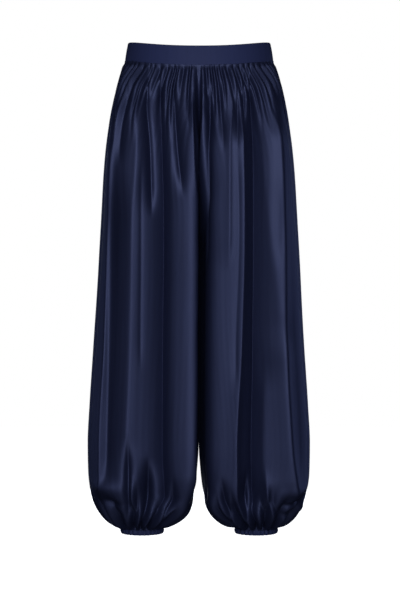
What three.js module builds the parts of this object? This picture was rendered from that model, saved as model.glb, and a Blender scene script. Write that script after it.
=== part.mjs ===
// Satin salwar trousers, filled out as if worn: two full legs gathered under a flat
// waistband and drawn in at the ankle by narrow elastic cuffs.
// Millimetres, +Z up. The front faces -Y and the wearer's left leg is at +X.
// The origin is the centre of the waist, halfway up the band, where the wearer holds it.
import * as THREE from "three";

// Cloth and seams
const WALL = 1.5; // satin with its pile of seam and gather behind it
const SEAM_GAP = 0.3; // between two pieces that are sewn together
const BAND_HEIGHT = 38;
const CUFF_HEIGHT = 11;
const CUFF_RADIUS = 43.5;
const CUFF_FROM_CENTRE = 114;

// How far the waist line sits below the level of its sides at the front, and above at the back
const FRONT_DIP = 17;
const BACK_RISE = 3;
const DIP_FADES_OVER = 260;

// Numbers of gathers. A panel is one quarter of the garment: one leg, front or back.
const WAIST_GATHERS = 14;
const ANKLE_GATHERS = 10;
const CUFF_RUCHES = 22;
const BAND_RUCHES = 24;

// Depths of gathers, from the middle of the cloth to a crest
const WAIST_GATHER_DEPTH = 4.6;
const ANKLE_GATHER_DEPTH = 4.2;
const CUFF_RUCHE_DEPTH = 1.3;
const BAND_RUCHE_DEPTH = 1.6;

function table(columns, rows) {
  const names = columns.split(" ");
  return rows.map((row) =>
    Object.fromEntries(names.map((name, i) => [name, row[i]])),
  );
}

// Sections of the garment going down from the waist seam. side is the outer edge of a leg
// from the centre plane and gap its inner edge. split is 0 where both legs are one oval and
// 1 where each leg is a tube of its own. front and back are the depths from the side seams.
const LEVELS = table("drop side gap split front back", [
  [0.3, 149.5, 0, 0.0, 100, 102],
  [18, 155.5, 0, 0.01, 103, 107],
  [36, 161.2, 0, 0.02, 107, 112],
  [76, 171.0, 0, 0.06, 114, 123],
  [116, 178.4, 0, 0.13, 119, 133],
  [176, 186.1, 0, 0.28, 124, 142],
  [236, 190.6, 0, 0.55, 126, 142],
  [290, 194.2, 0, 0.88, 125, 135],
  [326, 196.3, 0, 1.0, 124, 130],
  [376, 199.2, 0, 1.0, 122, 125],
  [476, 204.6, 0, 1.0, 117, 118],
  [576, 210.9, 0, 1.0, 114, 114],
  [676, 217.2, 0, 1.0, 113, 113],
  [756, 221.2, 0, 1.0, 113, 113],
  [816, 220.2, 2.6, 1.0, 111, 111],
  [856, 215.1, 7.1, 1.0, 106, 106],
  [880, 208.6, 13.1, 1.0, 98.5, 98.5],
  [898, 200.2, 21.2, 1.0, 91, 91],
  [912, 190.2, 32.4, 1.0, 80, 80],
  [921, 180.8, 44.3, 1.0, 69, 69],
  [925.5, 171.3, 56.4, 1.0, 58, 58],
  [927, 161.5, 66.5, 1.0, 47.5, 47.5],
  [929.2, 157.5, 70.5, 1.0, 43.5, 43.5],
]);
const LAST_LEVEL = LEVELS.length - 1;

// How square the inner corner of each panel is: 2 is a plain oval, more comes further
// forward beside the centre line before it turns back between the legs.
const INNER_CORNER = {
  right_front: 3.2,
  left_front: 2.0,
  right_back: 2.2,
  left_back: 2.2,
};

// The large folds of each panel. height is above the cloth for a ridge and below for a
// trough, and width is its half-width. It runs from one drop to another, and the at
// columns give its place in mm from the side seam at six drops.
const FOLD_DROPS = [40, 180, 376, 570, 765, 880];
const FOLD_COLUMNS = "height width from to at40 at180 at376 at570 at765 at880";
const FOLDS = {
  right_front: table(FOLD_COLUMNS, [
    [7, 17, 20, 900, 53, 64, 81, 86, 82, 60],
    [-6, 15, 60, 850, 65, 78, 112, 116, 121, 100],
    [9, 19, 10, 905, 87, 136, 146, 154, 163, 127],
    [-8, 11, 0, 520, 112, 159, 183, 184, 186, 160],
    [7, 11, 10, 420, 119, 169, 188, 190, 192, 160],
    [-12, 14, 0, 915, 136, 181, 205, 207, 215, 186],
    [-7, 12, 640, 925, 112, 159, 183, 184, 187, 158],
    [8, 21, 0, 910, 158, 199, 233, 243, 248, 228],
    [-7, 10, 30, 300, 167, 214, 262, 266, 268, 240],
    [6, 18, 20, 820, 181, 231, 273, 280, 278, 260],
    [5, 11, 20, 700, 24, 26, 34, 38, 36, 28],
    [-5, 10, 20, 640, 38, 44, 56, 60, 56, 44],
  ]),
  left_front: table(FOLD_COLUMNS, [
    [-11, 11, 0, 905, 193, 237, 278, 280, 289, 268],
    [6, 9, 20, 380, 208, 248, 320, 320, 320, 290],
    [7, 13, 10, 380, 186, 225, 252, 256, 258, 240],
    [-6, 11, 20, 300, 172, 207, 236, 240, 242, 230],
    [10, 16, 10, 700, 167, 195, 217, 225, 226, 210],
    [-8, 10, 20, 620, 156, 182, 196, 205, 206, 190],
    [9, 12, 20, 915, 137, 168, 188, 195, 214, 181],
    [-13, 15, 0, 920, 122, 151, 168, 170, 185, 165],
    [9, 18, 10, 560, 102, 130, 134, 120, 118, 100],
    [-7, 14, 10, 540, 84, 91, 112, 114, 114, 100],
    [8, 16, 620, 905, 102, 130, 134, 150, 161, 124],
    [-7, 12, 640, 870, 84, 91, 112, 130, 137, 104],
    [10, 19, 20, 900, 66, 71, 95, 103, 102, 76],
    [-6, 12, 30, 840, 53, 60, 78, 77, 74, 55],
    [6, 12, 20, 420, 30, 44, 56, 54, 50, 40],
    [5, 12, 380, 890, 24, 28, 34, 40, 42, 32],
  ]),
  right_back: table(FOLD_COLUMNS, [
    [8, 18, 20, 890, 48, 62, 76, 84, 80, 62],
    [-7, 14, 30, 700, 70, 88, 104, 108, 110, 96],
    [9, 17, 10, 905, 92, 118, 138, 142, 150, 120],
    [-11, 14, 0, 915, 116, 146, 168, 176, 182, 158],
    [8, 15, 10, 470, 138, 168, 196, 204, 210, 180],
    [-8, 13, 20, 560, 158, 190, 222, 232, 236, 210],
    [9, 18, 30, 900, 176, 214, 250, 256, 262, 232],
    [-7, 12, 500, 910, 100, 130, 150, 154, 134, 108],
    [-6, 13, 30, 330, 198, 236, 280, 290, 292, 270],
    [-6, 11, 20, 760, 26, 34, 46, 54, 52, 40],
    [5, 12, 60, 640, 16, 22, 28, 34, 32, 26],
  ]),
  left_back: table(FOLD_COLUMNS, [
    [7, 16, 30, 870, 44, 58, 70, 76, 74, 58],
    [-7, 13, 20, 620, 62, 80, 94, 100, 102, 90],
    [10, 18, 10, 905, 84, 106, 126, 138, 142, 112],
    [-9, 14, 0, 800, 106, 132, 152, 166, 172, 150],
    [8, 14, 20, 520, 124, 154, 182, 192, 196, 170],
    [-11, 14, 0, 915, 144, 178, 208, 214, 222, 190],
    [8, 17, 20, 880, 166, 202, 236, 246, 252, 226],
    [7, 14, 560, 905, 110, 140, 160, 176, 188, 160],
    [-7, 13, 30, 320, 190, 228, 268, 276, 280, 256],
    [-5, 11, 20, 500, 24, 32, 44, 48, 48, 36],
    [5, 11, 420, 880, 18, 24, 32, 40, 44, 34],
  ]),
};

// Where rows of points lie on a panel: the gathers at both ends need finer rows and columns.
const ROWS = [
  0, 0.5, 1.4, 2.8, 3.6, 4.4, 5.2, 6, 6.6, 7.2, 7.7, 8.2, 9.2, 10, 11, 12, 13, 14, 15,
  16, 17, 18, 19, 20, 21, 22,
];
const FINE_ROWS_ABOVE = 3;
const FINE_ROWS_BELOW = 17.5;
const PLAIN_COLUMNS = 27;

const clamp = (value, low, high) => Math.min(high, Math.max(low, value));

function smooth(from, to, value) {
  const t = clamp((value - from) / (to - from), 0, 1);
  return t * t * (3 - 2 * t);
}

// A smooth curve through one column of the sections.
function levelAt(t) {
  const i = clamp(Math.floor(t), 0, LAST_LEVEL - 1);
  const f = t - i;
  const row = (k) => LEVELS[clamp(k, 0, LAST_LEVEL)];
  const through = (column) => {
    const [a, b, c, d] = [i - 1, i, i + 1, i + 2].map((k) => row(k)[column]);
    const start = Math.sign(b - a) === Math.sign(c - b) ? (c - a) / 2 : 0;
    const end = Math.sign(c - b) === Math.sign(d - c) ? (d - b) / 2 : 0;
    const span = c - b;
    const limit = (slope) => clamp(slope, -3 * Math.abs(span), 3 * Math.abs(span));
    const [m, n] = [limit(start), limit(end)];
    return (
      b + f * m + f * f * (3 * span - 2 * m - n) + f * f * f * (m + n - 2 * span)
    );
  };
  const level = Object.fromEntries(
    Object.keys(LEVELS[0]).map((column) => [column, through(column)]),
  );
  return { ...level, split: Math.min(1, level.split) };
}

// The oval of one panel at one level, from the side seam to the inner seam, with the
// length along it. x is the distance out from the centre plane.
function sectionOf(panel, t) {
  const level = levelAt(t);
  const { side, gap, split } = level;
  const depth = panel.back ? level.back : -level.front;
  const across = (side - gap) / (1 + split);
  const corner = INNER_CORNER[panel.name];
  const end = Math.acos(Math.min(1, split ** (corner / 2)));
  const points = [];
  let length = 0;
  for (let i = 0; i <= 90; i++) {
    const angle = Math.PI + ((end - Math.PI) * i) / 90;
    const c = Math.cos(angle);
    const s = Math.sin(angle);
    const inner = c > 0;
    const x = side - across - across * (inner ? c ** (2 / corner) : c);
    const y = depth * (inner ? Math.max(s, 0) ** (2 / corner) : s);
    const before = points[points.length - 1];
    if (before) length += Math.hypot(x - before.x, y - before.y);
    points.push({ x, y, length });
  }
  return { level, points, length };
}

// A point of the plain form, before any fold. u is 0 at the side seam and 1 at the inner one.
function formAt(panel, section, u) {
  const { level, points, length } = section;
  const along = u * length;
  let i = 1;
  while (i < points.length - 1 && points[i].length < along) i++;
  const [a, b] = [points[i - 1], points[i]];
  const f = (along - a.length) / (b.length - a.length || 1);
  const x = a.x + f * (b.x - a.x);
  const y = a.y + f * (b.y - a.y);
  const z = -BAND_HEIGHT / 2 - level.drop + waistLine(x, y, level);
  return new THREE.Vector3(x, y, z);
}

// The waist line dips at the front and rises a little at the back, less and less going down.
function waistLine(x, y, level) {
  const fade = 1 - smooth(0, DIP_FADES_OVER, level.drop);
  const depth = y < 0 ? y / level.front : y / level.back;
  const bend = depth * depth * (y < 0 ? -FRONT_DIP : BACK_RISE);
  return bend * fade;
}

// Gathers are uneven: their phase runs faster in some places and slower in others.
function gatherPhase(u, count, seed) {
  return count * u + 0.3 * Math.sin(11 * u + seed) + 0.2 * Math.sin(23 * u + 2 * seed);
}

function columnsAtGathers(count, seed) {
  const first = gatherPhase(0, count, seed);
  const last = gatherPhase(1, count, seed);
  const columns = [0];
  for (let k = Math.ceil(first * 4 + 0.5); k < last * 4 - 0.5; k++) {
    let [low, high] = [0, 1];
    for (let step = 0; step < 30; step++) {
      const middle = (low + high) / 2;
      if (gatherPhase(middle, count, seed) * 4 < k) low = middle;
      else high = middle;
    }
    columns.push((low + high) / 2);
  }
  return [...columns, 1];
}

function evenColumns(count) {
  return Array.from({ length: count + 1 }, (_, i) => i / count);
}

function foldPlace(fold, drop) {
  const places = FOLD_DROPS.map((d) => fold["at" + d]);
  let i = 1;
  while (i < FOLD_DROPS.length - 1 && FOLD_DROPS[i] < drop) i++;
  const f = (drop - FOLD_DROPS[i - 1]) / (FOLD_DROPS[i] - FOLD_DROPS[i - 1]);
  return places[i - 1] + Math.max(f, -0.3) * (places[i] - places[i - 1]);
}

// How far the cloth stands out from the plain form.
function foldAt(panel, section, u) {
  const { level, length } = section;
  const along = u * length;
  const drop = level.drop;
  let height = 0;
  for (const fold of FOLDS[panel.name]) {
    const offset = (along - foldPlace(fold, drop)) / fold.width;
    const strength =
      smooth(fold.from - 10, fold.from + 70, drop) *
      (1 - smooth(fold.to - 70, fold.to, drop));
    height += fold.height * strength * Math.exp(-offset * offset);
  }
  const atWaist = gatherPhase(u, WAIST_GATHERS, panel.seed);
  const waistLength = 78 + 24 * Math.sin(5 * atWaist) ** 2;
  const nearWaist = smooth(-14, 26, drop) * (1 - smooth(30, waistLength, drop));
  height -= WAIST_GATHER_DEPTH * nearWaist * Math.cos(2 * Math.PI * atWaist);
  const atAnkle = gatherPhase(u, ANKLE_GATHERS, panel.seed + 1);
  const nearAnkle = smooth(868, 915, drop) * (1 - 0.7 * smooth(921, 929, drop));
  height -= ANKLE_GATHER_DEPTH * nearAnkle * Math.cos(2 * Math.PI * atAnkle);
  const nearEdge =
    smooth(0, 13, along) * smooth(0, 12, length - along);
  return height * nearEdge;
}

// Triangles between two rows of points that need not hold the same number of points.
function stitch(rowA, rowB, columnsA, columnsB) {
  const triangles = [];
  let [i, j] = [0, 0];
  while (i < rowA.length - 1 || j < rowB.length - 1) {
    const nextA = i < rowA.length - 1 ? columnsA[i + 1] : Infinity;
    const nextB = j < rowB.length - 1 ? columnsB[j + 1] : Infinity;
    const middleA = (columnsA[i] + nextA) / 2;
    const middleB = (columnsB[j] + nextB) / 2;
    if (middleA <= middleB) {
      triangles.push([rowA[i], rowB[j], rowA[i + 1]]);
      i++;
    } else {
      triangles.push([rowA[i], rowB[j], rowB[j + 1]]);
      j++;
    }
  }
  return triangles;
}

// Gives a sheet its wall: each point moved half the wall both ways along the cloth's normal,
// and the two skins joined round the edge of the sheet.
function wallFrom(points, triangles, edge, pin, keep) {
  const normals = points.map(() => new THREE.Vector3());
  for (const [a, b, c] of triangles) {
    const ab = new THREE.Vector3().subVectors(points[b], points[a]);
    const ac = new THREE.Vector3().subVectors(points[c], points[a]);
    const face = ab.cross(ac);
    for (const k of [a, b, c]) normals[k].add(face);
  }
  normals.forEach((normal, k) => {
    pin(normal, k);
    normal.normalize();
  });
  const skin = (distance) =>
    points.map((point, k) =>
      keep(point.clone().addScaledVector(normals[k], distance), k, distance),
    );
  const positions = [...skin(WALL / 2), ...skin(-WALL / 2)];
  const under = points.length;
  const faces = [...triangles];
  for (const [a, b, c] of triangles) faces.push([a + under, c + under, b + under]);
  for (const loop of edge)
    loop.forEach((a, i) => {
      const b = loop[(i + 1) % loop.length];
      faces.push([a, a + under, b + under], [a, b + under, b]);
    });
  return { positions, faces };
}

function meshOf(name, { positions, faces }, mirrored) {
  const sign = mirrored ? -1 : 1;
  const geometry = new THREE.BufferGeometry();
  const flat = positions.flatMap((p) => [p.x * sign, p.y, p.z]);
  geometry.setAttribute("position", new THREE.Float32BufferAttribute(flat, 3));
  const index = faces.flatMap(([a, b, c]) => (mirrored ? [a, c, b] : [a, b, c]));
  geometry.setIndex(index);
  const mesh = new THREE.Mesh(geometry, satin);
  mesh.name = name;
  return mesh;
}

// One quarter of the trousers, from the waist seam to the cuff.
function legPanel(panel) {
  const fineWaist = columnsAtGathers(WAIST_GATHERS, panel.seed);
  const fineAnkle = columnsAtGathers(ANKLE_GATHERS, panel.seed + 1);
  const plain = evenColumns(PLAIN_COLUMNS);
  const points = [];
  const atSeam = [];
  const split = [];
  const rows = ROWS.map((t) => {
    const columns =
      t < FINE_ROWS_ABOVE ? fineWaist : t > FINE_ROWS_BELOW ? fineAnkle : plain;
    const section = sectionOf(panel, t);
    const near = [Math.max(t - 0.02, 0), Math.min(t + 0.02, LAST_LEVEL)].map((k) =>
      sectionOf(panel, k),
    );
    const indices = columns.map((u) => {
      const here = formAt(panel, section, u);
      const across = new THREE.Vector3().subVectors(
        formAt(panel, section, Math.max(u - 0.004, 0)),
        formAt(panel, section, Math.min(u + 0.004, 1)),
      );
      const down = new THREE.Vector3().subVectors(
        formAt(panel, near[1], u),
        formAt(panel, near[0], u),
      );
      const normal = across.cross(down);
      if (panel.back) normal.negate();
      if (t === 0 || t === LAST_LEVEL) normal.z = 0;
      normal.normalize();
      here.addScaledVector(normal, foldAt(panel, section, u));
      if (section.level.split >= 1) here.x = Math.max(here.x, (SEAM_GAP + WALL) / 2);
      points.push(here);
      atSeam.push(u === 0 ? "side" : u === 1 ? "inner" : "");
      split.push(section.level.split);
      return points.length - 1;
    });
    return { columns, indices };
  });
  const triangles = [];
  for (let r = 0; r < rows.length - 1; r++)
    triangles.push(
      ...stitch(
        rows[r].indices,
        rows[r + 1].indices,
        rows[r].columns,
        rows[r + 1].columns,
      ),
    );
  const facing = panel.back ? triangles.map(([a, b, c]) => [a, c, b]) : triangles;
  const ends = [rows[0], rows[rows.length - 1]];
  const loop = [
    ...ends[0].indices,
    ...rows.slice(1).map((row) => row.indices[row.indices.length - 1]),
    ...[...ends[1].indices].reverse().slice(1),
    ...rows.slice(1, -1).map((row) => row.indices[0]).reverse(),
  ];
  const level = new Set(ends.flatMap((row) => row.indices));
  const pin = (normal, k) => {
    if (atSeam[k] === "side") normal.y = 0;
    if (atSeam[k] === "inner" && split[k] < 1) normal.x = 0;
    if (atSeam[k] === "inner" && split[k] >= 1) normal.y = 0;
    if (level.has(k)) normal.z = 0;
  };
  const towards = panel.back ? 1 : -1;
  const keep = (point) => {
    point.x = Math.max(point.x, SEAM_GAP / 2);
    point.y = towards * Math.max(towards * point.y, SEAM_GAP / 2);
    return point;
  };
  const edge = [panel.back ? loop : [...loop].reverse()];
  return meshOf(panel.name.replace("_", "_leg_"), wallFrom(points, facing, edge, pin, keep), panel.mirrored);
}

// Half of the waistband, front or back. The back half holds elastic and is ruched.
function waistband(name, back) {
  const waist = levelAt(0);
  const depth = back ? waist.back : waist.front;
  const columns = back
    ? columnsAtGathers(BAND_RUCHES, 3)
    : evenColumns(36);
  const heights = [0, 1];
  const points = [];
  const towards = back ? 1 : -1;
  const rows = heights.map((h) => {
    const indices = columns.map((u) => {
      const angle = Math.PI * u;
      const narrower = 1 - 0.042 * h;
      const ruche = back
        ? BAND_RUCHE_DEPTH *
          Math.cos(2 * Math.PI * gatherPhase(u, BAND_RUCHES, 3)) *
          Math.min(1, 12 * u, 12 * (1 - u))
        : 0;
      const x = (waist.side * narrower + ruche) * Math.cos(angle);
      const y = towards * (depth * narrower + ruche) * Math.sin(angle);
      const bend = Math.sin(angle) ** 2 * (back ? BACK_RISE : -FRONT_DIP);
      points.push(new THREE.Vector3(x, y, -BAND_HEIGHT / 2 + h * BAND_HEIGHT + bend));
      return points.length - 1;
    });
    return { columns, indices };
  });
  const triangles = [];
  for (let r = 0; r < rows.length - 1; r++)
    triangles.push(...stitch(rows[r].indices, rows[r + 1].indices, columns, columns));
  const facing = back ? triangles.map(([a, b, c]) => [a, c, b]) : triangles;
  const top = rows[rows.length - 1].indices;
  const loop = [
    ...rows[0].indices,
    ...rows.slice(1).map((row) => row.indices[row.indices.length - 1]),
    ...[...top].reverse().slice(1),
    ...rows.slice(1, -1).map((row) => row.indices[0]).reverse(),
  ];
  const seams = new Set(rows.flatMap((row) => [row.indices[0], row.indices[columns.length - 1]]));
  const level = new Set([...rows[0].indices, ...top]);
  const pin = (normal, k) => {
    if (seams.has(k)) normal.y = 0;
    if (level.has(k)) normal.z = 0;
  };
  const keep = (point) => {
    point.y = towards * Math.max(towards * point.y, SEAM_GAP / 2);
    return point;
  };
  return meshOf(name, wallFrom(points, facing, [back ? loop : [...loop].reverse()], pin, keep), false);
}

// A cuff: a ring of elastic casing, drawn into upright ruches.
function cuff(name, mirrored) {
  const top = -BAND_HEIGHT / 2 - LEVELS[LAST_LEVEL].drop - SEAM_GAP;
  const count = CUFF_RUCHES * 4;
  const heights = [0, 0.5, 1];
  const points = [];
  const rows = heights.map((h) =>
    Array.from({ length: count }, (_, i) => {
      const angle = (2 * Math.PI * i) / count;
      const uneven = 1 + 0.25 * Math.sin(3 * angle + 1);
      const ruche = CUFF_RUCHE_DEPTH * uneven * Math.cos(CUFF_RUCHES * angle);
      const radius = CUFF_RADIUS + ruche + 0.9 * Math.sin(Math.PI * h) - 0.6 * h;
      points.push(
        new THREE.Vector3(
          CUFF_FROM_CENTRE + radius * Math.cos(angle),
          radius * Math.sin(angle),
          top - h * CUFF_HEIGHT,
        ),
      );
      return points.length - 1;
    }),
  );
  const triangles = [];
  for (let r = 0; r < rows.length - 1; r++)
    rows[r].forEach((a, i) => {
      const b = rows[r][(i + 1) % count];
      const c = rows[r + 1][i];
      const d = rows[r + 1][(i + 1) % count];
      triangles.push([a, c, d], [a, d, b]);
    });
  const level = new Set([...rows[0], ...rows[rows.length - 1]]);
  const pin = (normal, k) => {
    if (level.has(k)) normal.z = 0;
  };
  const edge = [[...rows[0]].reverse(), rows[rows.length - 1]];
  return meshOf(name, wallFrom(points, triangles, edge, pin, (point) => point), mirrored);
}

const satin = new THREE.MeshStandardMaterial({ color: 0x20264a, roughness: 0.4 });
const PANELS = [
  { name: "right_front", back: false, mirrored: true, seed: 0.4 },
  { name: "left_front", back: false, mirrored: false, seed: 1.9 },
  { name: "right_back", back: true, mirrored: true, seed: 3.1 },
  { name: "left_back", back: true, mirrored: false, seed: 4.6 },
];

const trousers = new THREE.Group();
trousers.name = "salwar_trousers";
PANELS.forEach((panel) => trousers.add(legPanel(panel)));
trousers.add(waistband("waistband_front", false));
trousers.add(waistband("waistband_back", true));
trousers.add(cuff("right_cuff", true));
trousers.add(cuff("left_cuff", false));

export default trousers;
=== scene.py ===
"""Looks of a pair of navy satin salwar trousers: full legs gathered under a flat
waistband and drawn in at the ankle by narrow elastic cuffs, filled out with no wearer.

The cloth is worked out in millimetres in the part's own frame: +Z up, the front
faces -Y, the wearer's left leg is at +X and the origin is the centre of the waist.
A drop is how far below the waist seam a place lies, in mm.
"""

import math

import bpy
import numpy as np
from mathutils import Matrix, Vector


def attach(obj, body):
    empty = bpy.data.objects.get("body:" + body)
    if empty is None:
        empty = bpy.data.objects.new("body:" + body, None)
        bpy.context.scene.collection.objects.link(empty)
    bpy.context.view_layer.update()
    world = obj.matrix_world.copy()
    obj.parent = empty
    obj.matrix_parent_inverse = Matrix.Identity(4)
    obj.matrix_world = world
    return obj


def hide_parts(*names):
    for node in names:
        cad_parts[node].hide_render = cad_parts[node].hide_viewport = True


MM = 0.001

# Waistband: a folded strip, smooth in front and ruched over elastic at the back
BAND_HEIGHT = 38
BAND_THICK = 2.0
BAND_BULGE = 0.5
BAND_NARROWS = 0.042  # share of its width lost from its seam to its top edge
BAND_RUCHES = 24
BAND_RUCHE_DEPTH = 1.3
BAND_RIPPLE = 0.35  # how far its smooth half wavers
FRONT_DIP = 14.5
BACK_RISE = 3
DIP_FADES_OVER = 260

# Cuffs: elastic casings at the ankles
CUFF_HEIGHT = 11
CUFF_RADIUS = 41.2
CUFF_THICK = 2.2
CUFF_BULGE = 1.0
CUFF_FROM_CENTRE = 114
CUFF_RUCHES = 28
CUFF_RUCHE_DEPTHS = (0.8, 1.6)
CUFF_CURLS_IN = 1.2  # how far its lower edge turns in

# How far a leg panel's edges are let into the waistband and the cuff
TUCK = 3

# Mesh steps across and down a leg panel, and round a band or cuff
PANEL_COLUMNS = 236
PANEL_ROWS = 350
BAND_COLUMNS = 420
CUFF_COLUMNS = 448
STRIP_FACE_STEPS = 18
STRIP_EDGE_STEPS = 5

# Steps in which a section and the levels are measured before the mesh is laid out
SECTION_STEPS = 600
DROP_STEPS = 3000

# Satin, in mm: width and length of a streak of dye, and of a float of the weave. The floats
# are drawn three times as coarse as the real ones, which are too fine to show.
DYE_STREAK = (3.85, 111)
WARP_FLOAT = (0.36, 1.1)
WEAVE_DEPTH = 0.12

# Studio, in metres, with colours of light as linear values
FLOOR_HALF = 6.0
FLOOR_LEVEL = -1.25
WORLD_LIGHT = 0.002
MIDDLE = (0, 0, -0.49)
HIPS = (0, 0, -0.15)
ANKLES = (0, 0, -0.88)
CUFFS = (0, 0, -0.9)
WHITE = (1.0, 1.0, 1.0)
COOL = (0.75, 0.82, 1.0)
BLUE = (0.38, 0.48, 1.0)

# Each light's name, place, aim, width and height, power in watts, and colour
LIGHTS = [
    ("key_softbox", (-0.1, -3.4, 0.4), MIDDLE, (1.7, 2.4), 91, WHITE),
    ("backdrop_glow", (0, 3.2, -0.3), MIDDLE, (2.4, 2.4), 26, COOL),
    ("left_rim", (-2.2, 1.7, -0.4), MIDDLE, (1.0, 2.0), 3.5, BLUE),
    ("right_rim", (2.2, 1.7, -0.4), MIDDLE, (1.0, 2.0), 7, BLUE),
    ("floor_bounce", (0, -1.0, -2.6), CUFFS, (2.6, 1.4), 2.5, WHITE),
    ("low_softbox", (0, -2.8, -2.0), ANKLES, (1.6, 0.8), 13, WHITE),
    ("top_strip", (0, -1.7, 1.7), HIPS, (2.6, 0.8), 5, WHITE),
]

# Camera, in metres, with its sensor in mm
CAMERA_FAR = 3.8
CAMERA_UP = -0.43
FRAME_HIGH = 1.2
AIM = (0.0016, 0, -0.4924)
SENSOR = 36

# Each leg panel. sign is 1 for the wearer's left, seed sets the unevenness of its gathers,
# and crease_at is the share of its width at which its sharp crease lies.
PANELS = [
    {"name": "right_front", "back": False, "sign": -1, "seed": 0.4, "crease_at": 0.58},
    {"name": "left_front", "back": False, "sign": 1, "seed": 1.9, "crease_at": 0.48},
    {"name": "right_back", "back": True, "sign": -1, "seed": 3.1},
    {"name": "left_back", "back": True, "sign": 1, "seed": 4.6},
]


def table(columns, rows):
    """Rows of numbers as one array for each named column."""
    return {name: np.array([row[i] for row in rows], float) for i, name in enumerate(columns.split())}


# Sections going down from the waist seam. side is the outer edge of a leg from the centre
# plane and gap its inner edge. turn is how far a leg's section turns in past its front at
# the centre: 0 degrees where both legs are one oval and 90 where each is a tube of its own.
# front and back are the depths from the side seams.
LEVELS = table("drop side gap turn front back", [
    (0.3, 148.2, 0, 0, 100, 102),
    (18, 152.8, 0, 2, 103, 107),
    (36, 157.8, 0, 5, 107, 112),
    (76, 168.0, 0, 13, 114, 123),
    (116, 176.4, 0, 22, 119, 133),
    (176, 184.7, 0, 36, 124, 142),
    (236, 190.2, 0, 51, 126, 142),
    (290, 193.8, 0, 66, 125, 135),
    (326, 196.0, 0, 76, 124, 130),
    (376, 199.0, 0, 90, 122, 125),
    (476, 204.6, 0, 90, 117, 118),
    (576, 210.9, 0, 90, 114, 114),
    (676, 217.6, 0, 90, 113, 113),
    (756, 221.6, 0, 90, 113, 113),
    (816, 220.5, 3.6, 90, 111, 111),
    (856, 214.2, 9, 90, 107, 107),
    (880, 206.0, 16, 90, 101, 101),
    (896, 196.5, 26, 90, 93, 93),
    (909, 185.5, 38, 90, 81, 81),
    (917.5, 175.5, 49.5, 90, 69, 69),
    (922.2, 167.0, 60.5, 90, 57, 57),
    (925, 159.5, 68.5, 90, 46, 46),
    (929.2, 155.2, 72.8, 90, 41.2, 41.2),
])
LAST_LEVEL = len(LEVELS["drop"]) - 1

# How square each panel's inner and outer corners are, 2 being a plain oval. Just under the
# waistband both are as square as its own section, and at the cuff they are plain.
INNER_CORNER = {"right_front": 14.0, "left_front": 9.0, "right_back": 2.6, "left_back": 2.8}
OUTER_CORNER = {"right_front": 2.6, "left_front": 3.2, "right_back": 2.6, "left_back": 2.6}
BAND_CORNER = 2.3
PLAIN_CORNER = 2
BELOW_BAND = (0, 150)
TO_CUFF = (840, 925)

# The hips are squarer than the leg below them, between these drops
HIP_CORNER = 4.2
HIP_DROPS = (0, 50, 150, 330)

# How far each leg stands off from the other between its front and the inner seam, in mm,
# and how near the seam it comes back
STAND_OFF = {"right_front": 7, "left_front": 15, "right_back": 4, "left_back": 3}
STAND_OFF_DROPS = (100, 260, 840, 900)
STAND_OFF_CLOSES = 60

# Both legs lean to the wearer's right below the knee
LEAN = 1.0
LEAN_DROPS = (400, 560, 850, 900)

# The centre seam sinks in between the legs, from the gathers down to the crotch
CENTRE_DIP = 24
CENTRE_DIP_DROPS = (0, 110, 240, 370)
CENTRE_REACH = {"right_front": 10, "left_front": 7, "right_back": 24, "left_back": 24}

# Gathers: where those of the waist end and those of the ankle start, as drops, and how
# deep they are. Those of the ankle are sunk into the cloth by a share of their depth.
WAIST_GATHER_ENDS = (70, 210)
WAIST_GATHER_DEPTHS = (2.6, 4.2)
ANKLE_GATHER_STARTS = (815, 875)
ANKLE_GATHER_DEPTHS = (7, 12)
ANKLE_GATHER_SINKS = 0.37

# How round the grooves between gathers are
GROOVE_ROUND = 0.015

# How far from the side seam and from the inner seam the cloth's relief dies away, in mm
SIDE_SEAM_FLAT = 13
INNER_SEAM_FLAT = 6

# Where both legs are one form, relief near the centre seam goes straight to the front or
# back. That fades out between these turns, and this far from the seam in mm.
JOINED_TURNS = (70, 90)
JOINED_REACH = 25

# Fine streaks down the cloth, each with its own spacing between these two
STREAKS = 9
STREAK_HEIGHT = 0.08
STREAK_SPACING = (9, 24)

# Crests of the gathers under the waistband, in mm along the seam from the side seam
WAIST_SEAM = 209
WAIST_CRESTS = {
    "right_front": (12, 28, 43, 61, 73, 84, 103, 112, 123, 139, 153, 163, 171, 187, 197),
    "left_front": (8, 23, 44, 58, 70, 86, 98, 110, 121, 134, 146, 161, 171, 181, 190, 202),
    "right_back": (10, 24, 41, 53, 70, 82, 99, 110, 127, 139, 155, 166, 180, 195),
    "left_back": (12, 30, 42, 60, 71, 88, 104, 115, 131, 144, 158, 174, 186, 200),
}

# Crests of the gathers over the cuff, as shares of the way from the side seam
ANKLE_CRESTS = {
    "right_front": (0.05, 0.15, 0.24, 0.36, 0.45, 0.52, 0.61, 0.72, 0.82, 0.93),
    "left_front": (0.07, 0.16, 0.27, 0.37, 0.46, 0.55, 0.66, 0.74, 0.85, 0.94),
    "right_back": (0.06, 0.17, 0.26, 0.35, 0.47, 0.56, 0.64, 0.75, 0.84, 0.95),
    "left_back": (0.05, 0.14, 0.25, 0.36, 0.44, 0.55, 0.65, 0.73, 0.85, 0.94),
}

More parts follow.
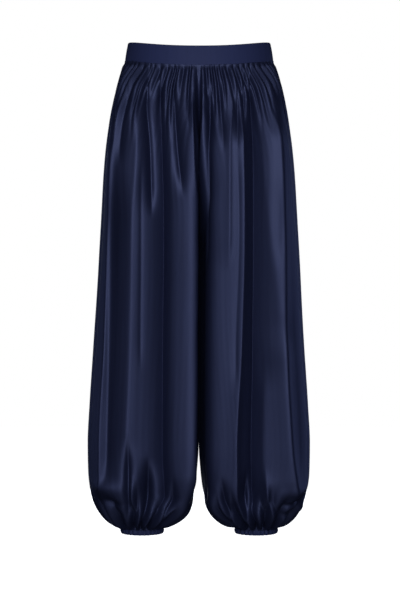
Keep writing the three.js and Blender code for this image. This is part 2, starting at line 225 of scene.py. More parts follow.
# The folds of each panel, in mm. rise is out from the cloth for a ridge and in for a trough.
# outward and inward are how fast it dies away towards the side seam and towards the inner
# one, and blunt is how round its line is. A fold runs from top to bottom, and the x columns
# give its place, out from the centre plane, at eight drops.
FOLD_DROPS = (10, 71, 174, 318, 551, 765, 858, 893)
FOLD_COLUMNS = "rise outward inward blunt top bottom x10 x71 x174 x318 x551 x765 x858 x893"
FOLDS = {
    "right_front": table(FOLD_COLUMNS, [
        (11, 14, 7, 1.0, 60, 870, 145, 150, 165, 172, 178, 188, 188, 170),
        (12, 30, 40, 3, 60, 905, 118, 121, 120, 128, 132, 141, 147, 145),
        (-6, 6, 14, 2, 60, 840, 163, 164, 165, 171, 174, 179, 180, 178),
        (-6, 9, 9, 2, 20, 220, 139, 143, 154, 154, 154, 154, 154, 154),
        (-2, 4, 4, 1, 200, 620, 112, 112, 112, 112, 113, 112, 112, 112),
        (-11, 7, 7, 1, 0, 320, 100, 102, 95, 92, 94, 94, 94, 94),
        (-22, 24, 11, 0.2, 0, 920, 78, 75, 72, 69, 70, 71, 67, 84),
        (-10, 7, 8, 1.5, 0, 280, 50, 48, 42, 29, 29, 29, 29, 29),
        (-4, 5, 5, 1, 20, 150, 22, 22, 20, 20, 20, 20, 20, 20),
        (16, 32, 3, 1.0, 60, 880, 13, 13, 13, 13, 13, 14, 18, 31),
        (-28, 9, 9, 1, 780, 925, 98, 98, 98, 98, 98, 98, 100, 104),
        (8, 6, 8, 1.5, 800, 915, 131, 131, 131, 131, 131, 131, 131, 122),
        (-14, 7, 7, 1, 740, 920, 139, 137, 137, 137, 137, 137, 137, 140),
        (-18, 7, 7, 1, 820, 925, 50, 50, 50, 50, 50, 50, 50, 66),
        (-16, 7, 7, 1, 830, 925, 120, 120, 120, 120, 120, 120, 120, 122),
        (-3, 9, 9, 2, 80, 860, 146, 162, 179, 190, 204, 215, 209, 191),
    ]),
    "left_front": table(FOLD_COLUMNS, [
        (-8, 6, 6, 1, 0, 190, 22, 22, 20, 17, 17, 17, 17, 17),
        (-7, 7, 7, 1.5, 0, 190, 42, 42, 47, 42, 42, 42, 42, 42),
        (4, 5, 25, 1.5, 50, 420, 66, 65, 59, 59, 52, 52, 52, 52),
        (-6, 6, 6, 1, 0, 190, 73, 75, 74, 74, 74, 74, 74, 74),
        (-2, 5, 5, 2, 180, 660, 74, 75, 74, 77, 72, 70, 70, 70),
        (18, 9, 52, 1.5, 100, 925, 83, 81, 86, 88, 84, 74, 76, 85),
        (-11, 5, 5, 1, 40, 420, 20, 20, 18, 18, 18, 18, 18, 18),
        (-8, 4, 4, 1, 0, 130, 87, 87, 88, 88, 88, 88, 88, 88),
        (-22, 22, 9, 0.2, 0, 910, 100, 100, 104, 105, 105, 102, 104, 106),
        (3, 18, 14, 6, 40, 560, 110, 112, 121, 135, 158, 158, 158, 158),
        (-3, 6, 8, 3, 60, 420, 118, 128, 150, 156, 158, 158, 158, 158),
        (16, 12, 26, 4.0, 90, 890, 134, 141, 154, 159, 164, 175, 184, 185),
        (7, 12, 30, 4.0, 520, 890, 162, 162, 162, 162, 164, 175, 184, 185),
        (6, 26, 18, 4, 600, 925, 127, 127, 127, 127, 127, 125, 135, 143),
        (-28, 8, 8, 1, 800, 925, 96, 96, 96, 96, 96, 96, 90, 93),
        (-26, 8, 8, 1, 820, 925, 42, 42, 42, 42, 42, 42, 50, 60),
        (-16, 6, 6, 1, 840, 925, 60, 60, 60, 60, 60, 58, 65, 75),
        (7, 6, 7, 1.5, 800, 915, 128, 128, 128, 128, 128, 128, 135, 143),
        (-20, 7, 7, 1, 850, 925, 120, 120, 120, 120, 120, 120, 121, 126),
        (-9, 7, 6, 1, 835, 925, 145, 145, 145, 145, 145, 145, 145, 152),
        (-3, 9, 9, 2, 60, 850, 147, 163, 180, 191, 205, 216, 210, 192),
    ]),
    "right_back": table(FOLD_COLUMNS, [
        (8, 14, 12, 5, 20, 890, 118, 130, 140, 146, 148, 156, 158, 146),
        (-10, 10, 16, 4, 30, 700, 100, 112, 124, 128, 130, 138, 140, 130),
        (9, 10, 14, 5, 10, 905, 84, 92, 100, 104, 104, 108, 116, 118),
        (-16, 14, 40, 3, 0, 915, 66, 72, 78, 80, 80, 84, 86, 98),
        (8, 12, 12, 6, 10, 470, 48, 52, 58, 60, 60, 60, 60, 60),
        (-9, 9, 10, 2, 20, 560, 30, 34, 38, 40, 42, 40, 40, 40),
        (8, 16, 12, 5, 30, 900, 16, 20, 24, 26, 28, 30, 38, 60),
        (-10, 8, 9, 2, 500, 915, 120, 126, 130, 132, 126, 128, 130, 126),
        (-7, 8, 8, 3, 20, 760, 134, 146, 160, 168, 174, 180, 180, 170),
        (6, 8, 8, 3, 60, 840, 140, 154, 172, 178, 186, 194, 190, 176),
        (-10, 8, 8, 1, 780, 925, 56, 56, 56, 56, 56, 56, 62, 78),
        (5, 10, 12, 3, 40, 860, 146, 162, 178, 189, 203, 214, 208, 190),
    ]),
    "left_back": table(FOLD_COLUMNS, [
        (7, 12, 12, 5, 30, 870, 122, 134, 146, 150, 154, 162, 164, 150),
        (-9, 8, 14, 3, 20, 620, 106, 118, 130, 134, 136, 142, 142, 142),
        (10, 9, 16, 3, 10, 905, 90, 98, 108, 112, 110, 114, 120, 120),
        (-12, 10, 20, 3, 0, 800, 74, 80, 88, 92, 90, 92, 94, 94),
        (8, 12, 12, 5, 20, 520, 58, 64, 70, 72, 72, 72, 72, 72),
        (-16, 14, 36, 3, 0, 915, 38, 44, 48, 50, 50, 52, 58, 78),
        (8, 14, 12, 5, 20, 880, 22, 26, 28, 30, 30, 34, 44, 66),
        (7, 9, 9, 4, 560, 915, 86, 86, 86, 86, 82, 80, 86, 98),
        (-7, 7, 7, 2, 20, 700, 136, 150, 164, 172, 178, 186, 184, 170),
        (6, 8, 8, 3, 120, 860, 144, 158, 174, 182, 190, 200, 196, 182),
        (-10, 8, 8, 1, 790, 925, 104, 104, 104, 104, 104, 106, 108, 110),
        (-4, 9, 12, 3, 60, 840, 147, 163, 179, 190, 204, 215, 209, 191),
    ]),
}

# How far above its top a fold starts, and how far it takes to grow and to die away, in mm
FOLD_STARTS = 10
FOLD_GROWS = 70

# A fold less blunt than SHARP is a crease: a mesh column runs down its line, with another
# on each side of it, CREASE_STEP of the panel's width away.
SHARP = 0.5
CREASE_STEP = 0.0008

# Puffs and pockets where the cloth blouses over the cuff. along and drop give the middle,
# length and width the half-sizes, turn the angle of the length below the horizontal.
PUFF_COLUMNS = "height along drop length width turn"
PUFFS = {
    "right_front": table(PUFF_COLUMNS, [
        (9, 106, 838, 26, 14, 0),
        (-8, 101, 868, 20, 8, 0),
    ]),
    "left_front": table(PUFF_COLUMNS, [
        (7, 95, 842, 30, 12, 10),
        (-8, 84, 866, 26, 7, 19),
        (4, 58, 882, 16, 9, 0),
        (-6, 82, 891, 11, 8, 0),
    ]),
    "right_back": table(PUFF_COLUMNS, [
        (5, 150, 846, 28, 11, -8),
        (-8, 146, 868, 24, 9, -8),
    ]),
    "left_back": table(PUFF_COLUMNS, [
        (5, 116, 842, 26, 11, 6),
        (-8, 112, 866, 22, 9, 6),
    ]),
}


def smooth(start, end, value):
    """0 up to start and 1 from end on, with a soft rise between them."""
    t = np.clip((value - start) / (end - start), 0, 1)
    return t * t * (3 - 2 * t)


def stretch(drops, drop):
    """1 between the middle two of four drops, fading to 0 at the outer two."""
    start, full, fading, end = drops
    return smooth(start, full, drop) * (1 - smooth(fading, end, drop))


def curve(x, xs, ys):
    """A smooth curve through the points (xs, ys) that makes no bump of its own."""
    xs = np.asarray(xs, float)
    ys = np.asarray(ys, float)
    slope = np.diff(ys) / np.diff(xs)
    start = np.concatenate([slope[:1], slope])
    end = np.concatenate([slope, slope[-1:]])
    same = start * end > 0
    tangent = np.where(same, 2 * start * end / np.where(same, start + end, 1), 0)
    i = np.clip(np.searchsorted(xs, x, side="right") - 1, 0, len(xs) - 2)
    span = xs[i + 1] - xs[i]
    f = np.clip((x - xs[i]) / span, -0.3, 1.3)
    rise = ys[i + 1] - ys[i]
    a = tangent[i] * span
    b = tangent[i + 1] * span
    inside = ys[i] + f * a + f**2 * (3 * rise - 2 * a - b) + f**3 * (a + b - 2 * rise)
    before = ys[i] + f * a
    beyond = ys[i + 1] + (f - 1) * b
    return np.where(f < 0, before, np.where(f > 1, beyond, inside))


def level_at(t):
    """The section at a level, or at an array of levels, counted from the waist seam."""
    numbers = np.arange(LAST_LEVEL + 1)
    level = {name: curve(t, numbers, values) for name, values in LEVELS.items()}
    level["turn"] = np.clip(level["turn"], 0, 90)
    return level


def corners_at(name, drop):
    """How square the inner and the outer corner of a panel's section are at one drop."""
    below_band = smooth(*BELOW_BAND, drop)
    at_cuff = smooth(*TO_CUFF, drop)
    inner = BAND_CORNER + (INNER_CORNER[name] - BAND_CORNER) * below_band
    outer = BAND_CORNER + (OUTER_CORNER[name] - BAND_CORNER) * below_band
    outer += (HIP_CORNER - outer) * stretch(HIP_DROPS, drop)
    inner += (PLAIN_CORNER - inner) * at_cuff
    outer += (PLAIN_CORNER - outer) * at_cuff
    return inner, outer


def walked(x, y):
    """The way along a line of points from the first one to each of them."""
    return np.concatenate([[0], np.cumsum(np.hypot(np.diff(x), np.diff(y)))])


def section_points(panel, level, shares):
    """Points of one panel at one level, at the given shares of the way from the side
    seam to the inner seam, and the length of that way."""
    name, drop = panel["name"], level["drop"]
    stand_off = STAND_OFF[name] * stretch(STAND_OFF_DROPS, drop)
    side, gap = level["side"], level["gap"] + stand_off
    depth = level["back"] if panel["back"] else -level["front"]
    inner, outer = corners_at(name, drop)
    inner_depth = math.cos(math.radians(level["turn"])) ** (2 / BAND_CORNER)
    end = math.asin(inner_depth ** (inner / 2))
    across = (side - gap) / (1 + math.cos(end) ** (2 / inner))
    angle = np.linspace(math.pi, end, SECTION_STEPS)
    c = np.cos(angle)
    corner = np.where(c > 0, inner, outer)
    x = side - across - across * np.sign(c) * np.abs(c) ** (2 / corner)
    y = depth * np.maximum(np.sin(angle), 0) ** (2 / corner)
    along = walked(x, y)
    x = x - stand_off * (1 - smooth(0, STAND_OFF_CLOSES, along[-1] - along))
    wanted = shares * along[-1]
    return np.interp(wanted, along, x), np.interp(wanted, along, y), along[-1]


def waist_line(y, level):
    """How far the waist dips at the front and rises at the back, fading as it goes down."""
    fade = 1 - smooth(0, DIP_FADES_OVER, level["drop"])
    share = np.where(y < 0, y / level["front"], y / level["back"])
    return share**2 * np.where(y < 0, -FRONT_DIP, BACK_RISE) * fade


def uneven(count, seed):
    """Numbers from 0 to 1 that look drawn by chance but are the same each time."""
    return np.modf(np.abs(np.sin(np.arange(count) * 12.9898 + seed * 78.233) * 43758.5453))[0]


def gather_phase(place, crests, end):
    """Counts up by one from crest to crest, starting half a gather before the first."""
    stops = np.concatenate([[0], crests, [end]])
    counts = np.concatenate([[0.5], np.arange(1, len(crests) + 1), [len(crests) + 0.5]])
    return curve(place, stops, counts)


def scallop(phase):
    """Round crests at whole numbers, with narrow grooves between them, from -0.9 to 0.9."""
    return 2 * np.sqrt(np.cos(math.pi * phase) ** 2 + GROOVE_ROUND) - 1.12


def for_each_gather(phase, count, seed, low, high):
    """A value that differs from gather to gather and changes smoothly between them."""
    values = low + (high - low) * uneven(count + 2, seed)
    return np.interp(phase, np.arange(count + 2), values)


def crease(offset, reach, blunt):
    """1 on the line of a fold, dying away on both sides of it, with a blunt tip."""
    return np.exp(-(np.hypot(offset, blunt) - blunt) / reach)


def fold_line(folds, i, drop):
    """How far out from the centre plane a fold runs, at one drop or at an array of them."""
    return curve(drop, FOLD_DROPS, [folds["x%d" % d][i] for d in FOLD_DROPS])


def follow_creases(panel, even, x, drop):
    """Shares for the columns of one row, moved so that a column and its near neighbours run
    down each sharp crease. x are the places of evenly shared columns."""
    folds = FOLDS[panel["name"]]
    stops, places = [0.0], [0.0]
    for i in np.flatnonzero(folds["blunt"] < SHARP):
        home = round(panel["crease_at"] * (PANEL_COLUMNS - 1))
        place = float(np.interp(-fold_line(folds, i, drop), -x, even))
        stops += [even[home - 1], even[home], even[home + 1]]
        places += [place - CREASE_STEP, place, place + CREASE_STEP]
    return np.interp(even, stops + [1.0], places + [1.0])


def fold_relief(folds, along, drop, out_from_centre):
    """Height of the long folds, in mm."""
    height = np.zeros_like(along)
    for i in range(len(folds["rise"])):
        wanted = fold_line(folds, i, drop[:, 0])
        line = [np.interp(-x, -row, way) for x, row, way in zip(wanted, out_from_centre, along)]
        offset = along - np.array(line)[:, None]
        reach = np.where(offset < 0, folds["outward"][i], folds["inward"][i])
        top, bottom = folds["top"][i], folds["bottom"][i]
        drops = (top - FOLD_STARTS, top + FOLD_GROWS, bottom - FOLD_GROWS, bottom)
        strength = stretch(drops, drop)
        height += folds["rise"][i] * strength * crease(offset, reach, folds["blunt"][i])
    return height


def puff_relief(puffs, along, drop):
    """Height of the puffs and pockets above the cuff, in mm."""
    height = np.zeros_like(along)
    for i in range(len(puffs["height"])):
        turn = math.radians(puffs["turn"][i])
        x = along - puffs["along"][i]
        y = drop - puffs["drop"][i]
        down_length = (x * math.cos(turn) + y * math.sin(turn)) / puffs["length"][i]
        down_width = (y * math.cos(turn) - x * math.sin(turn)) / puffs["width"][i]
        height += puffs["height"][i] * np.exp(-(down_length**2) - down_width**2)
    return height


def waist_gathers(panel, share, drop):
    """Height of the gathers that run down from the waistband, in mm."""
    crests = WAIST_CRESTS[panel["name"]]
    phase = gather_phase(share * WAIST_SEAM, crests, WAIST_SEAM)
    reach = for_each_gather(phase, len(crests), panel["seed"], *WAIST_GATHER_ENDS)
    depth = for_each_gather(phase, len(crests), panel["seed"] + 0.3, *WAIST_GATHER_DEPTHS)
    grown = 0.1 + 0.9 * smooth(0, 12, drop)
    return depth * grown * scallop(phase) * (1 - smooth(18, reach, drop))


def ankle_gathers(panel, share, drop):
    """Height of the gathers that run up from the cuff, in mm."""
    crests = ANKLE_CRESTS[panel["name"]]
    phase = gather_phase(share, crests, 1.0)
    reach = for_each_gather(phase, len(crests), panel["seed"] + 0.7, *ANKLE_GATHER_STARTS)
    depth = for_each_gather(phase, len(crests), panel["seed"] + 0.9, *ANKLE_GATHER_DEPTHS)
    narrowed = 1 - smooth(921, 929, drop)
    return depth * smooth(reach, 914, drop) * narrowed * (scallop(phase) - ANKLE_GATHER_SINKS)


def streak_relief(panel, along, drop):
    """Height of the fine streaks where satin hangs, in mm, fainter below the hips."""
    height = np.zeros_like(along)
    low, high = STREAK_SPACING
    spacings = low + (high - low) * uneven(STREAKS, panel["seed"] + 5)
    for k, spacing in enumerate(spacings):
        wander = 4 * np.sin(drop / (90 + 20 * k) + k * 2.1)
        patch = 0.5 + 0.5 * np.sin(drop / (70 + 13 * k) + along / 37 + 3.7 * k)
        height += patch * np.sin(2 * math.pi * (along + wander) / spacing + 1.7 * k)
    fainter = 1 - 0.7 * smooth(150, 350, drop)
    return STREAK_HEIGHT * height * smooth(10, 60, drop) * fainter


def cloth_relief(panel, share, length, drop, out_from_centre):
    """How far each point of a panel stands out from the plain form, in mm."""
    name = panel["name"]
    along = share * length
    height = fold_relief(FOLDS[name], along, drop, out_from_centre)
    height += puff_relief(PUFFS[name], along, drop)
    height += waist_gathers(panel, share, drop)
    height += ankle_gathers(panel, share, drop)
    height += streak_relief(panel, along, drop)
    at_side = smooth(0, SIDE_SEAM_FLAT, along)
    at_inner = smooth(0, INNER_SEAM_FLAT, length - along)
    return height * (at_side * at_inner)


def centre_dip(name, from_seam, drop):
    """How far the cloth sinks back between the legs, near the centre seam."""
    near_seam = 1 - smooth(0, CENTRE_REACH[name], from_seam)
    return CENTRE_DIP * stretch(CENTRE_DIP_DROPS, drop) * near_seam


def panel_rows():
    """The level of each row of a panel's mesh, with rows closest together at the waist and
    at the ankle, and the way down the cloth to each row, in mm."""
    fine = np.linspace(0, LAST_LEVEL, DROP_STEPS)
    level = level_at(fine)
    profile = np.hypot(np.diff(level["drop"]), np.diff(level["side"] - level["gap"]) / 2)
    middle = (level["drop"][1:] + level["drop"][:-1]) / 2
    density = 1 + 1.2 * (1 - smooth(30, 120, middle)) + 1.4 * smooth(820, 880, middle)
    count = np.concatenate([[0], np.cumsum(profile * density)])
    down = np.concatenate([[0], np.cumsum(profile)])
    rows = np.interp(np.linspace(0, count[-1], PANEL_ROWS), count, fine)
    return rows, np.interp(rows, fine, down)


def cloth_normal(panel, base, from_seam, turn):
    """The direction out of the cloth at each point. It has no part to the side where the
    two legs meet at the centre, and none up or down at the waistband and at the cuff."""
    normal = np.cross(np.gradient(base, axis=0), np.gradient(base, axis=1))
    if not panel["back"]:
        normal = -normal
    joined = (1 - smooth(*JOINED_TURNS, turn)) * (1 - smooth(0, JOINED_REACH, from_seam))
    normal[:, :, 0] *= 1 - joined
    normal[0, :, 2] = 0
    normal[-1, :, 2] = 0
    return normal / np.linalg.norm(normal, axis=2, keepdims=True)


def panel_points(panel):
    """Points of one quarter of the trousers, as rows going down, and their places in the
    flat cut, in mm."""
    rows, laid_down = panel_rows()
    levels = level_at(rows)
    even = np.linspace(0, 1, PANEL_COLUMNS)
    share = np.zeros((PANEL_ROWS, PANEL_COLUMNS))
    base = np.zeros((PANEL_ROWS, PANEL_COLUMNS, 3))
    length = np.zeros((PANEL_ROWS, 1))
    drop = levels["drop"][:, None]
    for r in range(PANEL_ROWS):
        here = {name: float(values[r]) for name, values in levels.items()}
        x, y, length[r] = section_points(panel, here, even)
        share[r] = follow_creases(panel, even, x, here["drop"])
        x, y, length[r] = section_points(panel, here, share[r])
        z = -BAND_HEIGHT / 2 - here["drop"] + waist_line(y, here)
        base[r] = np.stack([x, y, z], axis=1)
    from_seam = length * (1 - share)
    relief = cloth_relief(panel, share, length, drop, base[:, :, 0])
    normal = cloth_normal(panel, base, from_seam, levels["turn"][:, None])
    points = base + normal * relief[:, :, None]
    towards = 1 if panel["back"] else -1
    points[:, :, 1] -= towards * centre_dip(panel["name"], from_seam, drop)
    points[:, :, 1] = towards * np.maximum(towards * points[:, :, 1], 0)
    points[:, :, 0] = np.maximum(points[:, :, 0], 0)
    points[0, :, 2] += TUCK
    points[-1, :, 2] -= TUCK
    points[:, :, 0] *= panel["sign"]
    points[:, :, 0] -= LEAN * stretch(LEAN_DROPS, drop)
    cut = np.stack(np.broadcast_arrays(share * length, -laid_down[:, None]), axis=2)
    return points, cut


def quads(grid, flip):
    """The four corners of each face between rows and columns of numbers."""
    a, b = grid[:-1, :-1], grid[:-1, 1:]
    c, d = grid[1:, 1:], grid[1:, :-1]
    corners = (a, b, c, d) if flip else (a, d, c, b)
    return np.stack(corners, axis=2).reshape(-1, 4)


def grid_mesh(name, points, cut, closed=False, flip=False):
    """A mesh of rows of points. closed joins the last column to the first one."""
    rows, columns = points.shape[:2]
    number = np.arange(rows * columns).reshape(rows, columns)
    if closed:
        number = np.concatenate([number, number[:, :1]], axis=1)
        cut = np.concatenate([cut, cut[:, -1:] + (cut[:, -1:] - cut[:, -2:-1])], axis=1)
    faces = quads(number, flip)
    places = quads(np.arange(number.size).reshape(number.shape), flip).ravel()
    mesh = bpy.data.meshes.new(name)
    mesh.vertices.add(rows * columns)
    mesh.vertices.foreach_set("co", (points * MM).astype(np.float32).ravel())
    mesh.loops.add(faces.size)
    mesh.loops.foreach_set("vertex_index", faces.ravel().astype(np.int32))
    mesh.polygons.add(len(faces))
    mesh.polygons.foreach_set("loop_start", np.arange(0, faces.size, 4, dtype=np.int32))
    mesh.update(calc_edges=True)
    mesh.polygons.foreach_set("use_smooth", np.ones(len(faces), bool))
    cut_map = mesh.uv_layers.new(name="cut")
    on_cloth = cut.reshape(-1, 2)[places] * MM
    cut_map.data.foreach_set("uv", on_cloth.astype(np.float32).ravel())
    piece = bpy.data.objects.new(name, mesh)
    bpy.context.scene.collection.objects.link(piece)
    return piece


def leg_panel(panel):
    """A quarter of the legs: the front or the back of one leg."""
    points, cut = panel_points(panel)
    name = panel["name"].replace("_", "_leg_") + "_satin"
    return grid_mesh(name, points, cut, flip=(panel["sign"] < 0) == panel["back"])


def strip_profile(height, thick, bulge):
    """The outline of a folded strip of cloth: out from its middle line, and up from its
    lower edge, going round its rounded edges once and back to where it starts."""
    half = thick / 2
    up = np.linspace(half, height - half, STRIP_FACE_STEPS)
    share = (up - half) / (height - thick)
    face = half + bulge * np.sin(math.pi * share)
    turn = np.linspace(0, math.pi, STRIP_EDGE_STEPS + 2)[1:-1]
    top = np.stack([half * np.cos(turn), height - half + half * np.sin(turn)], axis=1)
    bottom = np.stack([-half * np.cos(turn), half - half * np.sin(turn)], axis=1)
    outer = np.stack([face, up], axis=1)
    inner = np.stack([-half + 0 * up, up[::-1]], axis=1)
    return np.concatenate([outer, top, inner, bottom, outer[:1]])


def strip_cut(share, width, profile):
    """Places of a strip's points in its flat cut: along it, and round its profile."""
    round_it = walked(*profile.T)
    return np.stack(np.broadcast_arrays(share[None, :] * width, round_it[:, None]), axis=2)


def waistband(half):
    """The front or the back half of the waistband."""
    back = half == "back"
    waist = level_at(np.array(0.0))
    depth = float(waist[half])
    side = float(waist["side"]) - BAND_THICK / 2
    profile = strip_profile(BAND_HEIGHT, BAND_THICK, BAND_BULGE)
    share = np.linspace(0, 1, BAND_COLUMNS)
    angle = math.pi * share
    across = np.sign(np.cos(angle)) * np.abs(np.cos(angle)) ** (2 / BAND_CORNER)
    deep = np.abs(np.sin(angle)) ** (2 / BAND_CORNER)
    towards = 1 if back else -1
    near_side = smooth(0, 0.06, share) * smooth(0, 0.06, 1 - share)
    crests = np.arange(BAND_RUCHES) + 0.5 + 0.3 * uneven(BAND_RUCHES, 2)
    phase = gather_phase(share, crests / (BAND_RUCHES + 0.3), 1.0)
    points = np.zeros((len(profile), BAND_COLUMNS, 3))
    for r, (out, up) in enumerate(profile):
        narrow = 1 - BAND_NARROWS * up / BAND_HEIGHT
        wave = BAND_RIPPLE * np.sin(7.3 * share + 0.08 * up) * near_side
        if back:
            firm = 0.55 + 0.45 * np.cos(2 * math.pi * 2 * up / BAND_HEIGHT)
            wave = (BAND_RUCHE_DEPTH * scallop(phase) * firm + 0.5) * near_side
        x = (side * narrow + out + wave) * across
        y = towards * (depth * narrow + out + wave) * deep
        bend = np.sin(angle) ** 2 * (BACK_RISE if back else -FRONT_DIP)
        points[r] = np.stack([x, y, -BAND_HEIGHT / 2 + up + bend], axis=1)
    width = math.pi * (side + depth) / 2
    cut = strip_cut(share, width, profile)
    return grid_mesh("waistband_" + half + "_satin", points, cut, flip=back)


def cuff(side, sign, seed):
    """A ring of elastic casing, drawn into upright ruches."""
    profile = strip_profile(CUFF_HEIGHT, CUFF_THICK, CUFF_BULGE)
    share = np.arange(CUFF_COLUMNS) / CUFF_COLUMNS
    angle = 2 * math.pi * share
    crests = np.arange(CUFF_RUCHES) + 0.5 + 0.35 * (uneven(CUFF_RUCHES, seed) - 0.5)
    phase = gather_phase(share, crests / CUFF_RUCHES, 1.0)
    depth = for_each_gather(phase, CUFF_RUCHES, seed + 1, *CUFF_RUCHE_DEPTHS)
    top = -BAND_HEIGHT / 2 - LEVELS["drop"][-1]
    points = np.zeros((len(profile), CUFF_COLUMNS, 3))
    for r, (out, up) in enumerate(profile):
        low = 1 - up / CUFF_HEIGHT
        ruche = depth * scallop(phase) * (0.75 + 0.25 * low)
        radius = CUFF_RADIUS + out + ruche - CUFF_CURLS_IN * low**3
        points[r, :, 0] = sign * (CUFF_FROM_CENTRE + radius * np.cos(angle))
        points[r, :, 1] = radius * np.sin(angle)
        points[r, :, 2] = top - CUFF_HEIGHT + up
    cut = strip_cut(share, 2 * math.pi * CUFF_RADIUS, profile)
    return grid_mesh(side + "_cuff_satin", points, cut, closed=True, flip=sign > 0)


def linear(hex_colour):
    """An sRGB hex colour as the linear red, green, blue and alpha that a shader takes."""
    parts = [int(hex_colour[i : i + 2], 16) / 255 for i in (1, 3, 5)]
    return [c / 12.92 if c <= 0.04045 else ((c + 0.055) / 1.055) ** 2.4 for c in parts] + [1.0]


def add_node(owner, kind, settings=None, links=None):
    """One shader node of a material or world, with its settings and with links from other
    nodes' outputs."""
    node = owner.node_tree.nodes.new(kind)
    for name, value in (settings or {}).items():
        if name in node.inputs:
            node.inputs[name].default_value = value
        else:
            setattr(node, name, value)
    for name, output in (links or {}).items():
        owner.node_tree.links.new(output, node.inputs[name])
    return node


def pattern_scale(wide, long):
    """Scale of a pattern on the flat cut, from the width and length of one spot in mm."""
    return (1 / (wide * MM), 1 / (long * MM), 1.0)


def navy_satin(name, dye_and_painted_light_low, dye_and_painted_light_high, roughness, gloss, lustre):
    """Polyester charmeuse satin, piece-dyed navy: long warp floats on the face give it a
    soft, wide sheen, and the dull twist of the weft breaks the sheen up."""
    material = bpy.data.materials.new(name)
    material.use_nodes = True
    material.node_tree.nodes.clear()
    cut = add_node(material, "ShaderNodeUVMap", {"uv_map": "cut"})

    # Uneven dye along the warp gives faint upright streaks
    dye = add_node(material, "ShaderNodeMapping",
                   {"Scale": pattern_scale(*DYE_STREAK)}, {"Vector": cut.outputs["UV"]})
    streaks = add_node(material, "ShaderNodeTexNoise",
                       {"Scale": 1.0, "Detail": 3.0, "Roughness": 0.6}, {"Vector": dye.outputs["Vector"]})
    colour = add_node(material, "ShaderNodeValToRGB", {}, {"Fac": streaks.outputs["Fac"]})
    low, high = colour.color_ramp.elements
    low.position, high.position = 0.25, 0.75
    low.color, high.color = linear(dye_and_painted_light_low), linear(dye_and_painted_light_high)

    # The weave gives the gloss a very fine ripple
    weave = add_node(material, "ShaderNodeMapping",
                     {"Scale": pattern_scale(*WARP_FLOAT)}, {"Vector": cut.outputs["UV"]})
    floats = add_node(material, "ShaderNodeTexNoise",
                      {"Scale": 1.0, "Detail": 1.0}, {"Vector": weave.outputs["Vector"]})
    ripple = add_node(material, "ShaderNodeBump",
                      {"Strength": 0.12, "Distance": WEAVE_DEPTH * MM}, {"Height": floats.outputs["Fac"]})

    finish = {
        "Roughness": roughness,
        "IOR": 1.5,
        "Specular IOR Level": gloss,
        "Specular Tint": linear("#98a8f0"),
        "Coat Weight": lustre,
        "Coat Roughness": 0.36,
    }
    shader = add_node(material, "ShaderNodeBsdfPrincipled", finish,
                      {"Base Color": colour.outputs["Color"], "Normal": ripple.outputs["Normal"]})
    add_node(material, "ShaderNodeOutputMaterial", {}, {"Surface": shader.outputs["BSDF"]})
    return material


def floor_paint():
    """Matt white studio paint, lit from within so that the floor has no shading."""
    material = bpy.data.materials.new("floor_paint")
    material.use_nodes = True
    material.node_tree.nodes.clear()
    finish = {
        "Base Color": linear("#f4f4f2"),
        "Roughness": 0.9,
        "Emission Color": linear("#ffffff"),
        "Emission Strength": 1.0,
    }
    shader = add_node(material, "ShaderNodeBsdfPrincipled", finish)
    add_node(material, "ShaderNodeOutputMaterial", {}, {"Surface": shader.outputs["BSDF"]})
    return material


def studio_floor():
    """A white floor under the trousers. It neither lights them nor shades them."""
    mesh = bpy.data.meshes.new("studio_floor")
    corners = [(-1, -1), (1, -1), (1, 1), (-1, 1)]
    places = [(x * FLOOR_HALF, y * FLOOR_HALF, FLOOR_LEVEL) for x, y in corners]
    mesh.from_pydata(places, [], [(0, 1, 2, 3)])
    mesh.materials.append(floor_paint())
    floor = bpy.data.objects.new("studio_floor", mesh)
    bpy.context.scene.collection.objects.link(floor)
    floor.visible_glossy = False
    floor.visible_diffuse = False
    floor.visible_shadow = False


def soft_light(name, place, aim, size, power, colour):
    """One softbox, which the camera doesn't see."""
    lamp = bpy.data.lights.new(name, "AREA")
    lamp.shape = "RECTANGLE"
    lamp.size, lamp.size_y = size
    lamp.energy = power
    lamp.color = colour
    holder = bpy.data.objects.new(name, lamp)
    holder.location = place
    holder.rotation_euler = (Vector(aim) - Vector(place)).to_track_quat("-Z", "Y").to_euler()
    holder.visible_camera = False
    bpy.context.scene.collection.objects.link(holder)


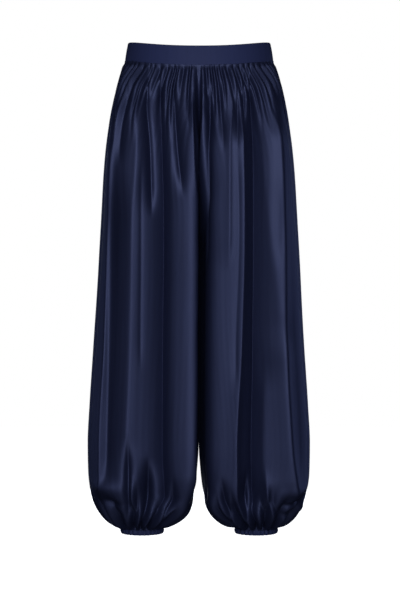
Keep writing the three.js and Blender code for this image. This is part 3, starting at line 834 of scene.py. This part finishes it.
def white_world():
    """Plain white behind the trousers, which sends them hardly any light."""
    world = bpy.data.worlds.new("white_studio")
    bpy.context.scene.world = world
    world.use_nodes = True
    world.node_tree.nodes.clear()
    white = linear("#ffffff")
    lit = add_node(world, "ShaderNodeBackground", {"Color": white, "Strength": WORLD_LIGHT})
    seen = add_node(world, "ShaderNodeBackground", {"Color": white, "Strength": 1.0})
    path = add_node(world, "ShaderNodeLightPath")
    mix = add_node(world, "ShaderNodeMixShader", {}, {
        "Fac": path.outputs["Is Camera Ray"],
        1: lit.outputs["Background"],
        2: seen.outputs["Background"],
    })
    add_node(world, "ShaderNodeOutputWorld", {}, {"Surface": mix.outputs["Shader"]})


def photo_camera():
    """The photograph's view: nearly level with the middle, from far off, through a long lens."""
    lens = bpy.data.cameras.new("camera")
    lens.sensor_width = SENSOR
    lens.lens = SENSOR * CAMERA_FAR / FRAME_HIGH
    camera = bpy.data.objects.new("camera", lens)
    camera.location = (AIM[0], -CAMERA_FAR, CAMERA_UP)
    camera.rotation_euler = (Vector(AIM) - camera.location).to_track_quat("-Z", "Y").to_euler()
    bpy.context.scene.collection.objects.link(camera)
    bpy.context.scene.camera = camera
    bpy.context.scene.view_settings.view_transform = "Standard"


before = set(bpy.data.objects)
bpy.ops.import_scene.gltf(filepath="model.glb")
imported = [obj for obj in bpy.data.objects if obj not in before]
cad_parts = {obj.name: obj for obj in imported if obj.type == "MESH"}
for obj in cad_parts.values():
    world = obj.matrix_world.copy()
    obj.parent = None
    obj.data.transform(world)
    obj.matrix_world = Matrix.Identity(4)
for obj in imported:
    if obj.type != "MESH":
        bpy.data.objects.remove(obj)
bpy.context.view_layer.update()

# The legs' satin hangs loose and shines. The band's is fused to stiffening, which flattens
# the floats, so it looks duller. Its paler colour is painted light, the brightness that
# light from above gives the band's flat front. The cuffs are cut from the band's.
leg_satin = navy_satin("navy_satin_leg", dye_and_painted_light_low="#090b1c", dye_and_painted_light_high="#0d1125",
                       roughness=0.58, gloss=0.9, lustre=0.03)
# Paler colours than the legs': painted light on the band and the cuffs
band_satin = navy_satin("navy_satin_band", dye_and_painted_light_low="#1d2341", dye_and_painted_light_high="#212748",
                        roughness=0.7, gloss=0.35, lustre=0.02)

pieces = {}
for panel in PANELS:
    pieces[panel["name"].replace("_", "_leg_")] = leg_panel(panel)
for half in ("front", "back"):
    pieces["waistband_" + half] = waistband(half)
for side, sign, seed in (("right", -1, 1.0), ("left", 1, 2.0)):
    pieces[side + "_cuff"] = cuff(side, sign, seed)

for node, piece in pieces.items():
    piece.data.materials.append(leg_satin if "leg" in node else band_satin)
    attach(piece, "root")
    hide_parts(node)
for panel in PANELS:
    side, half = panel["name"].split("_")
    piece = pieces[side + "_leg_" + half]

studio_floor()
for light in LIGHTS:
    soft_light(*light)
white_world()
photo_camera()
